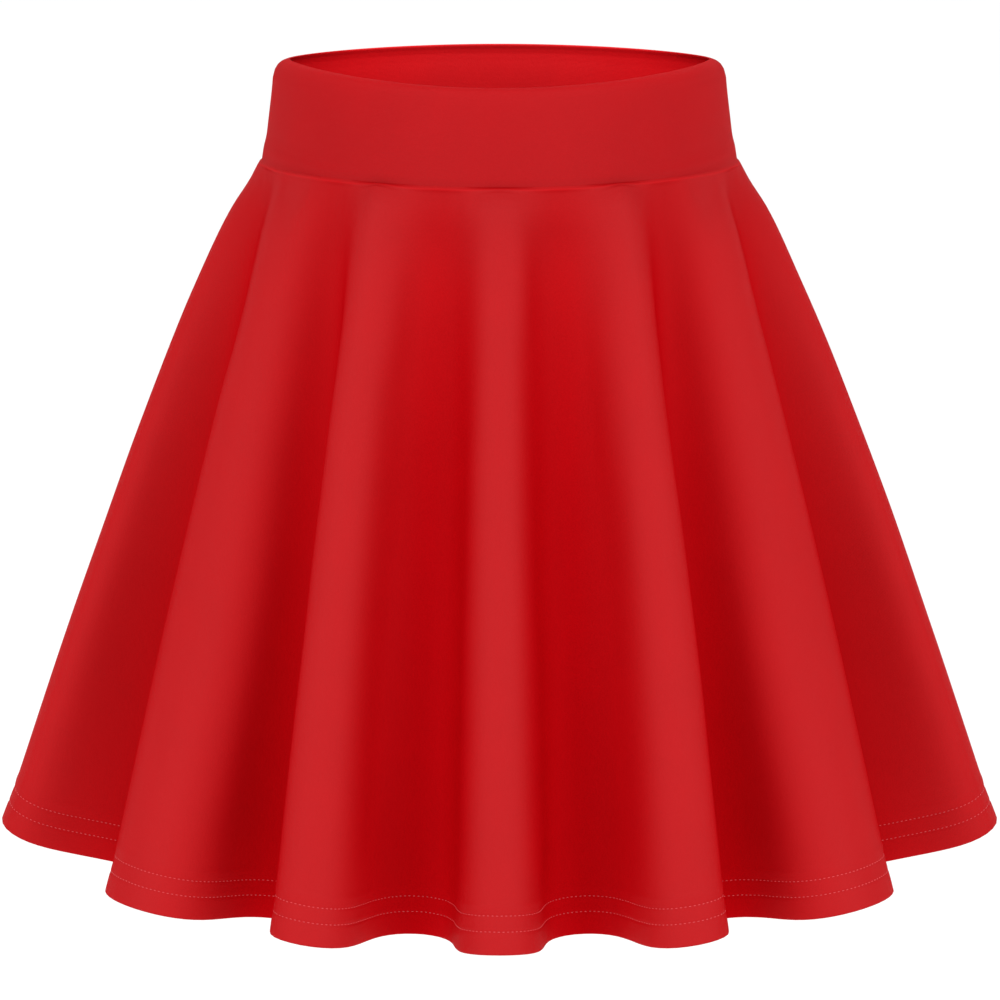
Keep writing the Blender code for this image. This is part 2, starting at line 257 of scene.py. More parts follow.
class Oval:
    """An oval round the body. Its pinch is 0 for an ellipse and nears 1 for two bows that meet at the sides."""

    ENTRIES = 1441

    def __init__(self, half_width: float, half_depth: float, pinch: float) -> None:
        """Makes the oval and its length table.

        Args:
            half_width: half its size from side to side.
            half_depth: half its size from front to back.
            pinch: how far the sides are drawn to a point.
        """
        self.half_width = half_width
        self.half_depth = half_depth
        self.pinch = pinch
        self.bearings = np.linspace(0.0, math.tau, self.ENTRIES)
        x, y = self.place(self.bearings, 0.0)
        self.lengths = np.append(0.0, np.cumsum(np.hypot(np.diff(x), np.diff(y))))
        self.girth = float(self.lengths[-1])

    def share_at(self, bearing: np.ndarray) -> np.ndarray:
        """Returns the share of the girth passed at a bearing."""
        whole = np.floor(bearing / math.tau)
        return whole + np.interp(bearing - whole * math.tau, self.bearings, self.lengths / self.girth)

    def bearing_at(self, share: np.ndarray) -> np.ndarray:
        """Returns the bearing where a share of the girth is passed."""
        return np.interp(np.mod(share, 1.0), self.lengths / self.girth, self.bearings)

    def place(self, bearing: np.ndarray, outward: np.ndarray | float) -> tuple[np.ndarray, np.ndarray]:
        """Returns x and y of points at a bearing, moved straight out from the oval."""
        sine = np.sin(bearing)
        cosine = np.cos(bearing)
        bow = 1.0 - self.pinch + self.pinch * np.abs(cosine)
        bow_slope = 1.0 - self.pinch + 2.0 * self.pinch * np.abs(cosine)
        along_x = self.half_width * cosine
        along_y = self.half_depth * bow_slope * sine
        length = np.hypot(along_x, along_y)
        x = self.half_width * sine + outward * along_y / length
        y = -self.half_depth * bow * cosine - outward * along_x / length
        return x, y


def round_spline(knots: np.ndarray, values: np.ndarray, at: np.ndarray) -> np.ndarray:
    """Returns a smooth closed curve through values at knots (radians, one turn), read at turns.

    Args:
        knots: where the values are, rising within one turn.
        values: the curve's values there.
        at: the turns to read it at.

    Returns:
        The curve's values at those turns.
    """
    count = len(knots)
    gaps = np.diff(np.append(knots, knots[0] + math.tau))
    rises = np.diff(np.append(values, values[0])) / gaps
    matrix = np.zeros((count, count))
    for i in range(count):
        matrix[i, i - 1] += gaps[i - 1]
        matrix[i, i] += 2.0 * (gaps[i - 1] + gaps[i])
        matrix[i, (i + 1) % count] += gaps[i]
    bends = np.linalg.solve(matrix, 6.0 * (rises - np.roll(rises, 1)))
    turn = np.mod(at - knots[0], math.tau) + knots[0]
    left = np.clip(np.searchsorted(knots, turn, side="right") - 1, 0, count - 1)
    right = (left + 1) % count
    gap = gaps[left]
    near = turn - knots[left]
    far = gap - near
    cubic = (bends[left] * far ** 3 + bends[right] * near ** 3) / (6.0 * gap)
    line_left = (values[left] / gap - bends[left] * gap / 6.0) * far
    line_right = (values[right] / gap - bends[right] * gap / 6.0) * near
    return cubic + line_left + line_right


def row_curve(stations: np.ndarray, values: np.ndarray, at: float) -> float:
    """Returns a smooth open curve through values at stations, read at one place."""
    slopes = np.gradient(values, stations)
    left = int(np.clip(np.searchsorted(stations, at, side="right") - 1, 0, len(stations) - 2))
    gap = stations[left + 1] - stations[left]
    share = (at - stations[left]) / gap
    start = (1.0 + 2.0 * share) * (1.0 - share) ** 2 * values[left]
    start_slope = share * (1.0 - share) ** 2 * gap * slopes[left]
    end = share ** 2 * (3.0 - 2.0 * share) * values[left + 1]
    end_slope = share ** 2 * (share - 1.0) * gap * slopes[left + 1]
    return float(start + start_slope + end + end_slope)


@dataclass
class FoldForm:
    """The skirt's fall: cloth of a fixed length that swings in and out along an oval at every level."""

    top: float = -0.050
    length: float = 0.400
    cut_share: float = 0.518
    settle_rate: float = 1.28
    tiny_turn: float = 1.0e-4
    fine_steps: int = 100
    meander_samples: int = 48
    most_swing: float = 2.2
    swing_entries: int = 300
    least_drop: float = 0.1

    def __post_init__(self) -> None:
        """Makes the lookup tables."""
        self.swings = np.linspace(0.0, self.most_swing, self.swing_entries)
        self.shares = self.bessel(0, self.swings)
        self.starts = np.radians([line.waist for line in FOLD_LINES])
        self.cuts = np.radians([line.cut for line in FOLD_LINES])
        self.hems = np.radians([line.hem for line in FOLD_LINES])
        self.waist_radius = self.oval(0.0).girth / math.tau

    def bessel(self, order: int, swing: np.ndarray) -> np.ndarray:
        """Returns the Bessel function that sums a meander's swing (radians) over one fold."""
        angles = (np.arange(self.meander_samples) + 0.5) * math.pi / self.meander_samples
        waves = np.cos(order * angles[:, None] - np.sin(angles)[:, None] * np.ravel(swing)[None, :])
        return waves.mean(axis=0).reshape(np.shape(swing))

    def oval(self, down: float) -> Oval:
        """Returns the oval that the folds run along at a share of the skirt's length."""
        stations = np.array([level.down for level in SKIRT_LEVELS])
        sizes = []
        for name in ("half_width", "half_depth", "pinch"):
            values = np.array([getattr(level, name) for level in SKIRT_LEVELS])
            sizes.append(row_curve(stations, values, down))
        return Oval(*sizes)

    def phase(self, cut: np.ndarray, down: float) -> np.ndarray:
        """Returns the fold count in radians at a share of the length: half a turn from crest to trough."""
        knots = self.starts + (self.cuts - self.starts) * down
        lines = len(knots)
        folds = 0.5 * lines
        return folds * cut + round_spline(knots, np.arange(lines) * math.pi - folds * knots, cut)

    def hem_bearing(self, cut: np.ndarray) -> np.ndarray:
        """Returns where the cloth of a cut angle stands at the hem."""
        return cut + round_spline(self.cuts, self.hems - self.cuts, cut)

    def level_points(self, cut: np.ndarray, down: float) -> tuple[np.ndarray, np.ndarray]:
        """Returns x and y of the cloth at cut angles and a share of the length."""
        oval = self.oval(down)
        settled = math.sin(0.5 * math.pi * min(1.0, self.settle_rate * down))

        def middle(turn: np.ndarray) -> np.ndarray:
            """Returns the share of the girth where cloth would lie without its fold."""
            return (1.0 - settled) * turn / math.tau + settled * oval.share_at(self.hem_bearing(turn))

        tiny = self.tiny_turn
        cloth = self.waist_radius + self.cut_share * down * self.length
        chord = oval.girth * (middle(cut + tiny) - middle(cut - tiny)) / (2.0 * tiny)
        phase = self.phase(cut, down)
        reach = cloth * 2.0 * tiny / (self.phase(cut + tiny, down) - self.phase(cut - tiny, down))
        share = np.clip(chord / cloth, self.shares[-1], 1.0)
        swing = np.interp(-share, -self.shares, self.swings)
        outward = 2.0 * reach * self.bessel(1, swing) * np.cos(phase)
        sideways = reach * self.bessel(2, swing) * np.sin(2.0 * phase)
        return oval.place(oval.bearing_at(middle(cut) + sideways / oval.girth), outward)

    def lines(self, cut: np.ndarray) -> np.ndarray:
        """Returns the outer face as steps x columns x 3, each column keeping the skirt's length."""
        steps = self.fine_steps
        lines = np.zeros((steps + 1, len(cut), 3))
        step = self.length / steps
        height = np.full(len(cut), self.top)
        for i in range(steps + 1):
            lines[i, :, 0], lines[i, :, 1] = self.level_points(cut, i / steps)
            if i > 0:
                move = np.sum((lines[i, :, :2] - lines[i - 1, :, :2]) ** 2, axis=1)
                height = height - np.sqrt(np.maximum(step ** 2 - move, (self.least_drop * step) ** 2))
            lines[i, :, 2] = height
        return lines

    def flat_place(self, cut: np.ndarray, down: np.ndarray) -> tuple[np.ndarray, np.ndarray]:
        """Returns where cloth lies in the flat cut, across and along the panel's straight grain."""
        radius = self.waist_radius / self.cut_share + down
        return radius * np.sin(self.cut_share * cut), -radius * np.cos(self.cut_share * cut)


def grid_outward(points: np.ndarray) -> np.ndarray:
    """Returns the outward directions of a rows x columns x 3 grid whose rows run down."""
    return unit(np.cross(np.gradient(points, axis=0), np.gradient(points, axis=1)))


def path_lengths(points: np.ndarray) -> np.ndarray:
    """Returns how far along a path each of its points lies."""
    return np.append(0.0, np.cumsum(np.linalg.norm(np.diff(points, axis=0), axis=1)))


def draw_in_ends(grid: np.ndarray, gap: float) -> None:
    """Moves a grid's first and last columns in, each by half the gap that a side seam leaves."""
    grid[:, 0] += unit(grid[:, 1] - grid[:, 0]) * 0.5 * gap
    grid[:, -1] += unit(grid[:, -2] - grid[:, -1]) * 0.5 * gap


def add_object(name: str, data: bpy.types.ID) -> bpy.types.Object:
    """Makes an object of a mesh, a curve, a light or a camera, and links it to the scene."""
    made = bpy.data.objects.new(name, data)
    bpy.context.scene.collection.objects.link(made)
    return made


def build_shell(name: str, outer: np.ndarray, inner: np.ndarray, flat: np.ndarray) -> bpy.types.Object:
    """Makes one closed shell from an outer and an inner face.

    Args:
        name: the object's name.
        outer: the outer face, rows x columns x 3, rows running down.
        inner: the inner face, of the same shape.
        flat: places in the flat cut, rows x columns x 2.

    Returns:
        The new mesh object, linked to the scene.
    """
    rows, columns = outer.shape[:2]
    count = rows * columns
    points = np.concatenate([outer.reshape(-1, 3), inner.reshape(-1, 3)])
    index = np.arange(count).reshape(rows, columns)
    a, b = index[:-1, :-1].ravel(), index[1:, :-1].ravel()
    c, d = index[1:, 1:].ravel(), index[:-1, 1:].ravel()
    faces = [np.stack([a, b, c, d], axis=1), np.stack([d, c, b, a], axis=1) + count]
    for first, second in (
        (index[0, :-1], index[0, 1:]),
        (index[-1, 1:], index[-1, :-1]),
        (index[1:, 0], index[:-1, 0]),
        (index[:-1, -1], index[1:, -1]),
    ):
        faces.append(np.stack([first, second, second + count, first + count], axis=1))
    quads = np.concatenate(faces)
    mesh = bpy.data.meshes.new(name)
    mesh.from_pydata(points.tolist(), [], quads.tolist())
    layer = mesh.uv_layers.new(name=FLAT_CUT)
    places = np.concatenate([flat.reshape(-1, 2), flat.reshape(-1, 2)])
    layer.data.foreach_set("uv", places[quads.ravel()].astype(np.float32).ravel())
    mesh.update()
    mesh.shade_smooth()
    mesh.set_sharp_from_angle(angle=SHARP_ANGLE)
    return add_object(name, mesh)


class Recipe:
    """A material in the making, with short ways to add and join its nodes."""

    def __init__(self, name: str) -> None:
        """Makes the material and takes hold of its shader."""
        self.material = bpy.data.materials.new(name)
        self.material.use_nodes = True
        self.tree = self.material.node_tree
        self.shader = self.tree.nodes["Principled BSDF"]

    def node(self, kind: str, **settings: object) -> bpy.types.Node:
        """Adds a node and sets its properties."""
        made = self.tree.nodes.new(kind)
        for key, value in settings.items():
            setattr(made, key, value)
        return made

    def feed(self, value: object, target: bpy.types.NodeSocket) -> None:
        """Joins a socket to an input, or sets the input to a plain value."""
        if isinstance(value, bpy.types.NodeSocket):
            self.tree.links.new(value, target)
        else:
            target.default_value = value

    def maths(self, operation: str, first: object, second: object = 0.0) -> bpy.types.NodeSocket:
        """Adds a maths node on two values or sockets and returns its output."""
        made = self.node("ShaderNodeMath", operation=operation)
        self.feed(first, made.inputs[0])
        self.feed(second, made.inputs[1])
        return made.outputs[0]

    def noise(self, scale: float, detail: float = 2.0, roughness: float = 0.5) -> bpy.types.NodeSocket:
        """Adds cloudy noise in the object's own space and returns its output."""
        coordinates = self.node("ShaderNodeTexCoord")
        made = self.node("ShaderNodeTexNoise")
        self.feed(coordinates.outputs["Object"], made.inputs["Vector"])
        self.feed(scale, made.inputs["Scale"])
        self.feed(detail, made.inputs["Detail"])
        self.feed(roughness, made.inputs["Roughness"])
        return made.outputs["Fac"]

    def smooth_rise(
        self, value: bpy.types.NodeSocket, low: float, high: float, to_low: float, to_high: float
    ) -> bpy.types.NodeSocket:
        """Adds a smooth change from one value to another and returns its output.

        Args:
            value: the socket that it is read at.
            low: where the change starts.
            high: where the change ends.
            to_low: what it gives up to its start.
            to_high: what it gives from its end on.

        Returns:
            The output socket.
        """
        made = self.node("ShaderNodeMapRange", interpolation_type="SMOOTHSTEP")
        for label, number in (("From Min", low), ("From Max", high), ("To Min", to_low), ("To Max", to_high)):
            self.feed(number, made.inputs[label])
        self.feed(value, made.inputs["Value"])
        return made.outputs["Result"]

    def add_relief(self, height: bpy.types.NodeSocket, distance: float) -> None:
        """Feeds a fine relief to the shader."""
        made = self.node("ShaderNodeBump")
        self.feed(1.0, made.inputs["Strength"])
        self.feed(distance, made.inputs["Distance"])
        self.feed(height, made.inputs["Height"])
        self.feed(made.outputs["Normal"], self.shader.inputs["Normal"])


@dataclass(frozen=True)
class Knit:
    """A smooth, matt double knit: its colour, its gloss, its stitch size, and the painted shade and painted highlight
    line near the waist seam.
    """

    name: str
    colour: tuple[float, float, float]
    roughness: float = 0.62
    glint: float = 0.20
    hollow_painted_shade: float = 0.95
    wale: float = 0.0009
    course: float = 0.0007
    relief: float = 0.00005
    loop_share: float = 0.35
    mottle: float = 0.05
    mottle_scale: float = 38.0
    mottle_detail: float = 5.0
    mottle_roughness: float = 0.55
    grain_scale: float = 900.0
    grain_depth: float = 0.08
    grain_relief: float = 1.5
    seam_radius: float = 0.0
    seam_painted_shade: float = 0.0
    seam_fade: float = 0.050
    seam_painted_highlight: float = 0.0

    def material(self) -> bpy.types.Material:
        """Returns the cloth's material, with its knit read from the flat cut."""
        found = bpy.data.materials.get(self.name)
        if found is not None:
            return found
        recipe = Recipe(self.name)
        place = recipe.node("ShaderNodeUVMap", uv_map=FLAT_CUT).outputs["UV"]
        grain = recipe.noise(self.grain_scale)
        self.add_colour(recipe, place, grain)
        height = recipe.maths("ADD", self.stitches(recipe, place), recipe.maths("MULTIPLY", grain, self.grain_relief))
        recipe.add_relief(height, self.relief)
        self.add_gloss(recipe)
        return recipe.material

    def split(self, recipe: Recipe, place: bpy.types.NodeSocket) -> tuple[bpy.types.NodeSocket, bpy.types.NodeSocket]:
        """Returns a flat place's two parts."""
        made = recipe.node("ShaderNodeSeparateXYZ")
        recipe.feed(place, made.inputs[0])
        return made.outputs["X"], made.outputs["Y"]

    def stitches(self, recipe: Recipe, place: bpy.types.NodeSocket) -> bpy.types.NodeSocket:
        """Adds the knit's loops and ribs and returns their height."""
        maths = recipe.maths
        across, along = self.split(recipe, place)
        column = maths("DIVIDE", across, self.wale)
        row = maths("DIVIDE", along, self.course)
        side = maths("ABSOLUTE", maths("SUBTRACT", maths("FRACT", column), 0.5))
        loop = maths("SINE", maths("MULTIPLY", maths("ADD", row, side), math.tau))
        rib = maths("COSINE", maths("MULTIPLY", maths("SUBTRACT", side, 0.25), math.tau))
        return maths("ADD", maths("MULTIPLY", loop, self.loop_share), maths("MULTIPLY", rib, 1.0 - self.loop_share))

    def from_seam(self, recipe: Recipe, place: bpy.types.NodeSocket) -> bpy.types.NodeSocket:
        """Returns the distance from the waist seam: round an arc for the skirt, straight up for the band."""
        if not self.seam_radius:
            return self.split(recipe, place)[1]
        reach = recipe.node("ShaderNodeVectorMath", operation="LENGTH")
        recipe.feed(place, reach.inputs[0])
        return recipe.maths("SUBTRACT", reach.outputs["Value"], self.seam_radius)

    def add_colour(self, recipe: Recipe, place: bpy.types.NodeSocket, grain: bpy.types.NodeSocket) -> None:
        """Feeds the colour: uneven by a little, darker near the waist seam as painted shade, and lighter in a thin
        line along it as a painted highlight.
        """
        maths = recipe.maths
        cloud = recipe.noise(self.mottle_scale, self.mottle_detail, self.mottle_roughness)
        shade = maths("ADD", maths("MULTIPLY", cloud, 2.0 * self.mottle), 1.0 - self.mottle)
        speck = maths("ADD", maths("MULTIPLY", grain, self.grain_depth), 1.0 - 0.5 * self.grain_depth)
        distance = self.from_seam(recipe, place)
        # Painted shade: the colour darkens towards the waist seam.
        painted_shade = recipe.smooth_rise(distance, 0.1 * self.seam_fade, self.seam_fade, 1.0 - self.seam_painted_shade, 1.0)
        # Painted highlight: a thin lighter line in the colour along the seam's roll.
        apart = maths("ABSOLUTE", maths("SUBTRACT", distance, SEAM_EDGE_PLACE))
        painted_highlight = recipe.smooth_rise(apart, 0.0, SEAM_EDGE_WIDTH, 1.0 + self.seam_painted_highlight, 1.0)
        value = maths("MULTIPLY", maths("MULTIPLY", maths("MULTIPLY", shade, speck), painted_shade), painted_highlight)
        tint = recipe.node("ShaderNodeVectorMath", operation="SCALE")
        recipe.feed(self.colour, tint.inputs[0])
        recipe.feed(value, tint.inputs["Scale"])
        recipe.feed(tint.outputs[0], recipe.shader.inputs["Base Color"])

    def add_gloss(self, recipe: Recipe) -> None:
        """Feeds the gloss: less where the cloth turns away, and turned down in the hollows of the folds as painted
        shade.
        """
        maths = recipe.maths
        weight = recipe.node("ShaderNodeLayerWeight")
        facing = maths("SUBTRACT", 1.0, weight.outputs["Facing"])
        # Painted shade: the gloss is turned down where the cloth lies deep in its folds.
        depth = recipe.node("ShaderNodeAttribute", attribute_name=PAINTED_GLOSS_SHADE)
        lit = maths("SUBTRACT", 1.0, maths("MULTIPLY", depth.outputs["Fac"], self.hollow_painted_shade))
        gloss = maths("MULTIPLY", maths("MULTIPLY", facing, lit), self.glint)
        recipe.feed(gloss, recipe.shader.inputs["Specular IOR Level"])
        recipe.feed(self.roughness, recipe.shader.inputs["Roughness"])


@dataclass(frozen=True)
class Thread:
    """Sewing thread: its colour, a red lighter than the cloth's as painted sheen, and its size."""

    name: str = "thread_red"
    # Painted sheen: the thread's red is lighter than the cloth's.
    colour: tuple[float, float, float] = (0.56, 0.030, 0.040)
    diameter: float = 0.00054
    roughness: float = 0.45
    sheen: float = 0.15
    twist_scale: float = 2500.0
    relief: float = 0.00005

    def material(self) -> bpy.types.Material:
        """Returns the thread's material: a fine twist over a soft gloss."""
        found = bpy.data.materials.get(self.name)
        if found is not None:
            return found
        recipe = Recipe(self.name)
        recipe.add_relief(recipe.noise(self.twist_scale), self.relief)
        recipe.feed((*self.colour, 1.0), recipe.shader.inputs["Base Color"])
        recipe.feed(self.roughness, recipe.shader.inputs["Roughness"])
        recipe.feed(self.sheen, recipe.shader.inputs["Sheen Weight"])
        return recipe.material


# Painted shade: the band's red is a darker copy of the skirt's red, though it is the same cloth.
BAND_KNIT = Knit("band_knit_painted_shade", (0.360, 0.0005, 0.0025), glint=0.14, seam_painted_shade=0.06, seam_fade=0.005)
# Painted shade near the waist seam: the band darkens within 5 mm above it, and the skirt over its top 60 mm below it.
SKIRT_KNIT = Knit(
    "skirt_knit",
    (0.403, 0.0005, 0.0025),
    seam_radius=WAIST_RADIUS,
    seam_painted_shade=0.07,
    seam_fade=0.060,
    seam_painted_highlight=0.16,
)
THREAD = Thread()


def dress(piece: bpy.types.Object, material: bpy.types.Material) -> None:
    """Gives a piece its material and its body."""
    piece.data.materials.clear()
    piece.data.materials.append(material)
    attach(piece, "root")


@dataclass
class Waistband:
    """Half of the waistband: a strip of cloth folded double, with the fold on top."""

    span: Span
    node: str
    height: float = 0.050
    wall: float = 0.0030
    layer: float = 0.00135
    depth_ratio: float = 0.7765
    pinch: float = 0.35
    rim_pinch: float = 0.60
    rim_rise: float = 0.0045
    back_rise: float = 0.0017
    side_power: int = 6
    columns: int = 150
    rows: int = 56
    turn_rows: int = 9
    seam_gap: float = 0.0003
    roll_side: tuple[float, float] = (0.42, 0.85)
    roll_end: tuple[float, float, float] = (0.93, 1.0, 0.75)
    roll_height: tuple[float, float] = (0.0014, 0.0064)
    roll: Ridge = Ridge(0.0, 0.0024, 0.00050)
    hollow: Ridge = Ridge(0.0050, 0.0040, -0.00055)
    tuck: Ridge = Ridge(0.0, 0.0035, -0.00028)
    puckers: Ripple = Ripple(Ridge(0.0065, 0.0030, 0.00012), ((61.0, 0.7), (23.0, 1.9), (37.0, 0.0)))
    slow_wave: tuple[float, float, float] = (0.00025, 5.0, 0.4)
    top_fade: tuple[float, float] = (0.0015, 0.006)
    knit: Knit = BAND_KNIT

    def point_row(self, bearings: np.ndarray, down: float, outward: np.ndarray | float) -> np.ndarray:
        """Returns one row of points round the band.

        Args:
            bearings: where round the waist they lie.
            down: the height below the top edge.
            outward: how far they lie outside the band's outer face.

        Returns:
            The points, columns x 3.
        """
        share = down / self.height
        stations, widths = np.array(BAND_HALF_WIDTHS).T
        half_width = row_curve(stations, widths, share)
        pinch = self.rim_pinch + (self.pinch - self.rim_pinch) * share
        oval = Oval(half_width, half_width * self.depth_ratio, pinch)
        side = np.abs(np.sin(bearings)) ** self.side_power
        heights = np.array([lean.down for lean in BAND_SHOULDER])
        middle = np.interp(down, heights, [lean.middle for lean in BAND_SHOULDER])
        at_side = np.interp(down, heights, [lean.side for lean in BAND_SHOULDER])
        x, y = oval.place(bearings, outward - middle - (at_side - middle) * side)
        back = 0.5 - 0.5 * np.cos(bearings)
        sweep = np.sin(bearings) ** 2
        rise = self.rim_rise * sweep + self.back_rise * back * (1.0 - sweep)
        return np.stack([x, y, rise * (1.0 - share) - down], axis=1)

    def swell(self, bearings: np.ndarray, down: float) -> np.ndarray:
        """Returns how far the outer face swells: a soft roll over the seam, with small puckers.

        Args:
            bearings: where round the waist.
            down: the height below the top edge.

        Returns:
            Distances out of the plain band, one for each bearing.
        """
        above = self.height - down
        sine = np.abs(np.sin(bearings))
        end_start, end_stop, end_loss = self.roll_end
        sides = ease(sine, *self.roll_side) * (1.0 - end_loss * ease(sine, end_start, end_stop))
        low, lift = self.roll_height
        from_roll = above - (low + lift * sine ** 4)
        rolled = sides * (self.roll.at(from_roll) + self.hollow.at(from_roll))
        height, count, start = self.slow_wave
        slow = height * np.sin(bearings * count + start) * math.sin(math.pi * down / self.height) * (1.0 - sine ** 4)
        total = rolled + self.tuck.at(above) + self.puckers.at(bearings, above) + slow
        return total * ease(np.array([down]), *self.top_fade)

    def section(self) -> list[tuple[float, float, float, float]]:
        """Returns the folded strip's section, up the outside, over the top and down the inside.

        Returns:
            For each row, the height down and the place outward of the skin that shows, then of the hidden one.
        """
        turn = 0.5 * self.wall
        hidden_turn = turn - self.layer
        share = np.arange(self.rows + 1) / self.rows
        heights = self.height - (self.height - turn) * 0.5 * (ease(share, 0.0, 1.0) + share)
        rows = [(down, 0.0, down, -self.layer) for down in heights]
        for i in range(1, self.turn_rows):
            angle = math.pi * i / self.turn_rows
            sine, cosine = math.sin(angle), math.cos(angle)
            shown = (turn - turn * sine, turn * cosine - turn)
            hidden = (turn - hidden_turn * sine, hidden_turn * cosine - turn)
            rows.append(shown + hidden)
        rows += [(down, -self.wall, down, self.layer - self.wall) for down in reversed(heights)]
        return rows

    def build(self) -> bpy.types.Object:
        """Builds the folded strip and returns it."""
        start, end = (math.radians(value) for value in self.span.value)
        bearings = np.linspace(start, end, self.columns + 1)
        outer, inner = [], []
        for i, (down, face, hidden_down, hidden_face) in enumerate(self.section()):
            swell = self.swell(bearings, down) if i <= self.rows else 0.0
            outer.append(self.point_row(bearings, down, face + swell))
            inner.append(self.point_row(bearings, hidden_down, hidden_face + swell))
        outer_grid, inner_grid = np.array(outer), np.array(inner)
        along = path_lengths(outer_grid[:, len(bearings) // 2])
        for grid in (outer_grid, inner_grid):
            draw_in_ends(grid, self.seam_gap)
        across = path_lengths(outer_grid[self.rows // 2])
        flat = np.stack(np.meshgrid(across, along), axis=2)
        piece = build_shell(self.node + "_cloth", outer_grid, inner_grid, flat)
        dress(piece, self.knit.material())
        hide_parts(self.node)
        LOG.info("%s: folded strip %.3f x %.3f m", piece.name, across[-1], along[-1])
        return piece


@dataclass
class SkirtPanel:
    """The skirt's front or back: one shaped panel with its folds, its creases and its turned-up hem."""

    span: Span
    node: str
    form: FoldForm
    columns: int = 208
    wall: float = 0.0013
    hem_wall: float = 0.0025
    hem_depth: float = 0.026
    hem_step_width: float = 0.0007
    hem_flare: float = 0.0010
    hem_flare_depth: float = 0.022
    least_open: float = 0.0004
    stitch_rows: tuple[float, float] = (0.0123, 0.0211)
    stitch_margin: float = 0.001
    seam_gap: float = 0.00003
    top_gap: float = 0.00003
    hollow_start: float = 0.04
    hollow_rate: float = 0.08
    crease_ends: float = 0.35
    seam_roll: Ridge = Ridge(SEAM_EDGE_PLACE, SEAM_EDGE_WIDTH, 0.00050)
    seam_tuck: Ridge = Ridge(0.0, 0.0010, -0.00032)
    seam_puckers: Ripple = Ripple(Ridge(0.009, 0.006, 0.00012), ((53.0, 0.3), (19.0, 1.1)), (0.6, 83.0, 2.0))
    hem_puckers: Ripple = Ripple(Ridge(0.016, 0.012, 0.00022), ((97.0, 0.5), (41.0, 0.9)), (0.5, 151.0, 1.3))
    knit: Knit = SKIRT_KNIT

    def hem_ridges(self) -> list[Ridge]:
        """Returns the grooves under the stitches and the soft ridge over the turned-up edge."""
        grooves = [Ridge(place, 0.0007, -0.00030) for place in self.stitch_rows]
        return grooves + [Ridge(self.hem_depth, 0.0022, 0.00025)]

    def row_places(self) -> np.ndarray:
        """Returns the rows' distances down the cloth, closer at the seam and at the hem."""
        length = self.form.length
        hem = length - self.hem_depth - HEM_MARGIN
        top = np.concatenate([np.arange(*ROLL_ROWS), np.arange(*PUCKER_ROWS)])
        body = np.linspace(BODY_START, hem, BODY_ROWS)[:-1]
        tail = np.arange(hem, length - EDGE_MARGIN, HEM_STEP)
        edge = length - 0.5 * self.hem_wall * np.array(EDGE_SHARES)
        return np.concatenate([top, body, tail, edge])

    def thickness(self, down: np.ndarray) -> np.ndarray:
        """Returns the wall's thickness down the cloth, with the step at the turned-up hem."""
        step = self.form.length - self.hem_depth
        return self.wall + (self.hem_wall - self.wall) * ease(down, step - self.hem_step_width, step)

    def painted_gloss_shade(self, cut: np.ndarray, down: np.ndarray) -> np.ndarray:
        """Returns how deep the cloth lies in its fold: 0 on a crest, near 1 in a trough low on the skirt. It masks
        the gloss's painted shade.
        """
        hollows = np.array([0.5 - 0.5 * np.cos(self.form.phase(cut, share)) for share in down / self.form.length])
        return hollows * (1.0 - np.exp(-(down + self.hollow_start) / self.hollow_rate))[:, None]

    def relief(self, cut: np.ndarray, down: np.ndarray) -> np.ndarray:
        """Returns how far the cloth's creases, puckers and stitched rows stand out of its folds.

        Args:
            cut: cut angles, one for each column.
            down: distances down the cloth, one for each row.

        Returns:
            Distances out of the plain folds, rows x columns.
        """
        down_grid = down[:, None]
        from_edge = self.form.length - down_grid
        cloth = self.form.waist_radius + self.form.cut_share * down_grid
        total = np.zeros((len(down), len(cut)))
        for crease in CREASES:
            share = (down_grid - crease.start) / (crease.end - crease.start)
            middle = math.radians(crease.cut) + math.radians(crease.drift) * share
            apart = np.mod(cut[None, :] - middle + math.pi, math.tau) - math.pi
            ends = ease(share, 0.0, self.crease_ends) * (1.0 - ease(share, 1.0 - self.crease_ends, 1.0))
            total += crease.height * ends * bump(apart * cloth, 0.0, crease.width)
        total += self.seam_roll.at(down_grid) + self.seam_tuck.at(down_grid)
        total += self.seam_puckers.at(cut[None, :], down_grid) + self.hem_puckers.at(cut[None, :], from_edge)
        for ridge in self.hem_ridges():
            total += ridge.at(from_edge)
        return total + self.hem_flare * (1.0 - ease(from_edge, 0.0, self.hem_flare_depth))

    def faces(self, cut: np.ndarray, down: np.ndarray) -> tuple[np.ndarray, np.ndarray]:
        """Returns the cloth's outer and inner faces, without their first and last columns.

        Args:
            cut: cut angles, one for each column and one more at either end.
            down: distances down the cloth, one for each row.

        Returns:
            Two grids, each rows x columns x 3.
        """
        lines = self.form.lines(cut)
        steps = self.form.fine_steps
        place = np.clip(down / self.form.length * steps, 0.0, steps - 1.0e-9)
        above = place.astype(int)
        share = (place - above)[:, None, None]
        outward = grid_outward(lines)
        outward = unit(outward[above] * (1.0 - share) + outward[above + 1] * share)
        points = lines[above] * (1.0 - share) + lines[above + 1] * share
        points = points + outward * self.relief(cut, down)[:, :, None]
        half_wall = 0.5 * self.thickness(down)
        rounding = np.clip(1.0 - (self.form.length - down) / (0.5 * self.hem_wall), 0.0, 1.0)
        half_open = np.sqrt(np.maximum(1.0 - rounding ** 2, self.least_open))
        faces = []
        for side in (1.0, -1.0):
            face = points - outward * (half_wall * (1.0 - side * half_open))[:, None, None]
            face = face[:, 1:-1].copy()
            face[0, :, 2] = self.form.top - self.top_gap
            draw_in_ends(face, self.seam_gap)
            faces.append(face)
        return faces[0], faces[1]

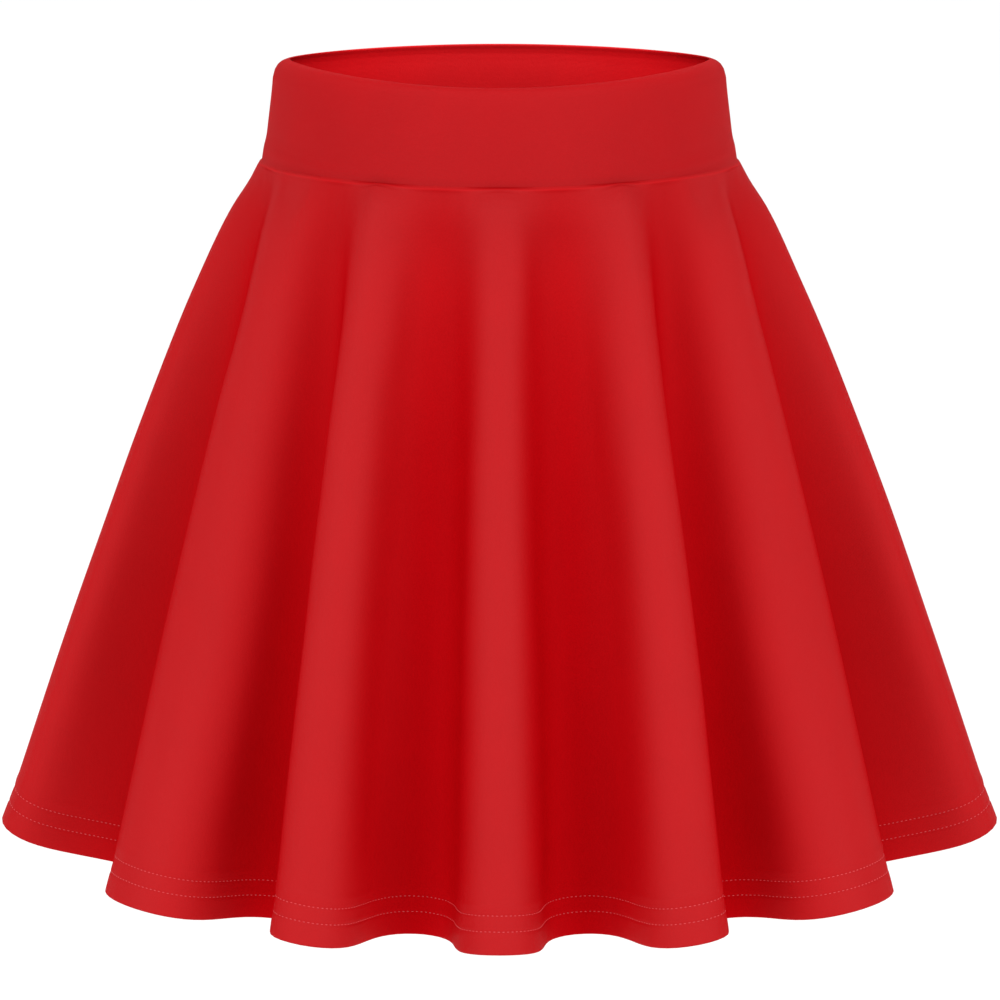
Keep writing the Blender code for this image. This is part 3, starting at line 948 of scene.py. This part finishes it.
    def build(self) -> bpy.types.Object:
        """Builds the panel's cloth and its two rows of stitches, and returns the cloth."""
        start, end = (math.radians(value) for value in self.span.value)
        turn = (end - start) / self.columns
        cut = np.linspace(start - turn, end + turn, self.columns + 3)
        down = self.row_places()
        outer, inner = self.faces(cut, down)
        cut = cut[1:-1]
        flat = np.stack(self.form.flat_place(cut[None, :] - 0.5 * (start + end), down[:, None]), axis=2)
        piece = build_shell(self.node + "_cloth", outer, inner, flat)
        # The fold depth is stored on the mesh as the mask for the gloss's painted shade.
        depth = self.painted_gloss_shade(cut, down).ravel()
        layer = piece.data.attributes.new(name=PAINTED_GLOSS_SHADE, type="FLOAT", domain="POINT")
        layer.data.foreach_set("value", np.append(depth, depth).astype(np.float32))
        dress(piece, self.knit.material())
        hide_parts(self.node)
        for number, from_edge in enumerate(self.stitch_rows):
            row = int(np.argmin(np.abs(self.form.length - down - from_edge)))
            StitchRow(f"{self.node}_hem_stitch_{number + 1}", self.thread_path(outer[row])).build()
        return piece

    def thread_path(self, points: np.ndarray) -> np.ndarray:
        """Returns evenly spaced points along one row of the outer face, with a margin at both seams."""
        travelled = path_lengths(points)
        places = np.arange(self.stitch_margin, travelled[-1] - self.stitch_margin, 0.0010)
        return np.stack([np.interp(places, travelled, points[:, axis]) for axis in range(3)], axis=1)


@dataclass
class StitchRow:
    """A row of machine stitches along a path, instanced by Geometry Nodes and made plain mesh."""

    name: str
    path: np.ndarray
    pitch: float = 0.0024
    dash: float = 0.0013
    bead_segments: int = 6
    bead_rings: int = 5
    thread: Thread = THREAD

    def tree(self) -> bpy.types.NodeTree:
        """Returns the node tree that lays one short bead of thread at every pitch."""
        tree = bpy.data.node_groups.new(self.name + "_nodes", "GeometryNodeTree")
        for label, kind, direction in (
            ("Geometry", "NodeSocketGeometry", "INPUT"),
            ("Pitch", "NodeSocketFloat", "INPUT"),
            ("Dash", "NodeSocketFloat", "INPUT"),
            ("Diameter", "NodeSocketFloat", "INPUT"),
            ("Geometry", "NodeSocketGeometry", "OUTPUT"),
        ):
            tree.interface.new_socket(name=label, in_out=direction, socket_type=kind)
        nodes = tree.nodes
        given = nodes.new("NodeGroupInput").outputs
        made = nodes.new("NodeGroupOutput")
        resample = nodes.new("GeometryNodeResampleCurve")
        resample.mode = "LENGTH"
        bead = nodes.new("GeometryNodeMeshUVSphere")
        bead.inputs["Segments"].default_value = self.bead_segments
        bead.inputs["Rings"].default_value = self.bead_rings
        bead.inputs["Radius"].default_value = 0.5
        size = nodes.new("ShaderNodeCombineXYZ")
        stretch = nodes.new("GeometryNodeTransform")
        tangent = nodes.new("GeometryNodeInputTangent")
        align = nodes.new("FunctionNodeAlignRotationToVector")
        align.axis = "Z"
        place = nodes.new("GeometryNodeInstanceOnPoints")
        realise = nodes.new("GeometryNodeRealizeInstances")
        colour = nodes.new("GeometryNodeSetMaterial")
        colour.inputs["Material"].default_value = self.thread.material()
        for source, target in (
            (given["Geometry"], resample.inputs["Curve"]),
            (given["Pitch"], resample.inputs["Length"]),
            (given["Diameter"], size.inputs["X"]),
            (given["Diameter"], size.inputs["Y"]),
            (given["Dash"], size.inputs["Z"]),
            (bead.outputs["Mesh"], stretch.inputs["Geometry"]),
            (size.outputs[0], stretch.inputs["Scale"]),
            (tangent.outputs[0], align.inputs["Vector"]),
            (resample.outputs["Curve"], place.inputs["Points"]),
            (stretch.outputs["Geometry"], place.inputs["Instance"]),
            (align.outputs["Rotation"], place.inputs["Rotation"]),
            (place.outputs["Instances"], realise.inputs["Geometry"]),
            (realise.outputs["Geometry"], colour.inputs["Geometry"]),
            (colour.outputs["Geometry"], made.inputs["Geometry"]),
        ):
            tree.links.new(source, target)
        return tree

    def build(self) -> bpy.types.Object:
        """Builds the row of stitches and returns it as a plain mesh."""
        curve = bpy.data.curves.new(self.name + "_path", "CURVE")
        curve.dimensions = "3D"
        spline = curve.splines.new("POLY")
        spline.points.add(len(self.path) - 1)
        flat = np.concatenate([self.path, np.ones((len(self.path), 1))], axis=1)
        spline.points.foreach_set("co", flat.astype(np.float32).ravel())
        guide = add_object(self.name + "_path", curve)
        modifier = guide.modifiers.new("stitches", "NODES")
        tree = self.tree()
        modifier.node_group = tree
        sizes = {"Pitch": self.pitch, "Dash": self.dash, "Diameter": self.thread.diameter}
        for item in tree.interface.items_tree:
            if item.in_out == "INPUT" and item.name in sizes:
                modifier[item.identifier] = sizes[item.name]
        graph = bpy.context.evaluated_depsgraph_get()
        mesh = bpy.data.meshes.new_from_object(guide.evaluated_get(graph))
        mesh.name = self.name
        mesh.shade_smooth()
        bpy.data.objects.remove(guide, do_unlink=True)
        piece = add_object(self.name, mesh)
        dress(piece, self.thread.material())
        LOG.info("%s: %d faces of thread", piece.name, len(mesh.polygons))
        return piece


@dataclass
class Studio:
    """A plain pale floor, soft light all round, two softboxes, two spots into the waist, and the camera."""

    floor_height: float = -1.05
    floor_size: float = 60.0
    floor_shade: float = 0.99
    sky_strength: float = 1.02
    softbox_power: float = 30.0
    softbox_size: float = 1.4
    softbox_place: tuple[float, float, float] = (2.2, -2.2, 0.85)
    softbox_aim: tuple[float, float, float] = (0.0, 0.0, -0.22)
    spot_power: float = 27.0
    spot_angle: float = math.radians(21.0)
    spot_radius: float = 0.08
    spot_place: tuple[float, float, float] = (0.30, -0.25, 0.40)
    spot_aim: tuple[float, float, float] = (-0.07, 0.07, 0.0)
    camera_place: tuple[float, float, float] = (0.0003, -2.459, 0.3022)
    camera_aim: tuple[float, float, float] = (0.0003, 0.0, -0.2362)
    lens: float = 166.75
    film_width: float = 36.0

    def add_aimed(self, name: str, data: bpy.types.ID, place: Vector, aim: Vector) -> bpy.types.Object:
        """Adds a light or a camera at a place and turns it to what it faces.

        Args:
            name: the object's name.
            data: the light or the camera.
            place: where it stands.
            aim: the point that it faces.

        Returns:
            The new object.
        """
        made = add_object(name, data)
        made.location = place
        made.rotation_euler = (aim - place).to_track_quat("-Z", "Y").to_euler()
        return made

    def add_floor(self) -> None:
        """Adds the floor."""
        half = 0.5 * self.floor_size
        mesh = bpy.data.meshes.new("floor")
        corners = [(-half, -half, 0.0), (half, -half, 0.0), (half, half, 0.0), (-half, half, 0.0)]
        mesh.from_pydata(corners, [], [(0, 1, 2, 3)])
        floor = add_object("floor", mesh)
        floor.location.z = self.floor_height
        recipe = Recipe("pale_floor")
        recipe.feed((self.floor_shade, self.floor_shade, self.floor_shade, 1.0), recipe.shader.inputs["Base Color"])
        recipe.feed(1.0, recipe.shader.inputs["Roughness"])
        recipe.feed(0.0, recipe.shader.inputs["Specular IOR Level"])
        mesh.materials.append(recipe.material)

    def add_sky(self) -> None:
        """Adds the even white light that comes from all round."""
        world = bpy.data.worlds.new("studio")
        world.use_nodes = True
        background = world.node_tree.nodes["Background"]
        background.inputs["Color"].default_value = (1.0, 1.0, 1.0, 1.0)
        background.inputs["Strength"].default_value = self.sky_strength
        bpy.context.scene.world = world

    def add_softboxes(self) -> None:
        """Adds the two square softboxes that face the skirt from both sides of its front."""
        for name, side in (("left_softbox", -1.0), ("right_softbox", 1.0)):
            light = bpy.data.lights.new(name, "AREA")
            light.size = self.softbox_size
            light.energy = self.softbox_power
            x, y, z = self.softbox_place
            self.add_aimed(name, light, Vector((side * x, y, z)), Vector(self.softbox_aim))

    def add_inner_spots(self) -> None:
        """Adds the two soft spots that cross over the open waist and light its inside."""
        for name, side in (("left_spot", -1.0), ("right_spot", 1.0)):
            light = bpy.data.lights.new(name, "SPOT")
            light.energy = self.spot_power
            light.spot_size = self.spot_angle
            light.spot_blend = 1.0
            light.shadow_soft_size = self.spot_radius
            (x, y, z), (aim_x, aim_y, aim_z) = self.spot_place, self.spot_aim
            self.add_aimed(name, light, Vector((side * x, y, z)), Vector((side * aim_x, aim_y, aim_z)))

    def add_camera(self) -> None:
        """Adds the camera."""
        camera = bpy.data.cameras.new("camera")
        camera.lens = self.lens
        camera.sensor_width = self.film_width
        camera.clip_end = 100.0
        place, aim = Vector(self.camera_place), Vector(self.camera_aim)
        bpy.context.scene.camera = self.add_aimed("camera", camera, place, aim)

    def build(self) -> None:
        """Builds the whole studio."""
        self.add_floor()
        self.add_sky()
        self.add_softboxes()
        self.add_inner_spots()
        self.add_camera()
        bpy.context.scene.view_settings.view_transform = "Standard"
        LOG.info("studio: floor, sky, softboxes, spots and camera")


def main() -> None:
    """Builds every sub-assembly in order."""
    form = FoldForm()
    Waistband(Span.BAND_FRONT, "waistband_front").build()
    Waistband(Span.BAND_BACK, "waistband_back").build()
    SkirtPanel(Span.SKIRT_FRONT, "skirt_front", form).build()
    SkirtPanel(Span.SKIRT_BACK, "skirt_back", form).build()
    Studio().build()


if __name__ == "__main__":
    main()
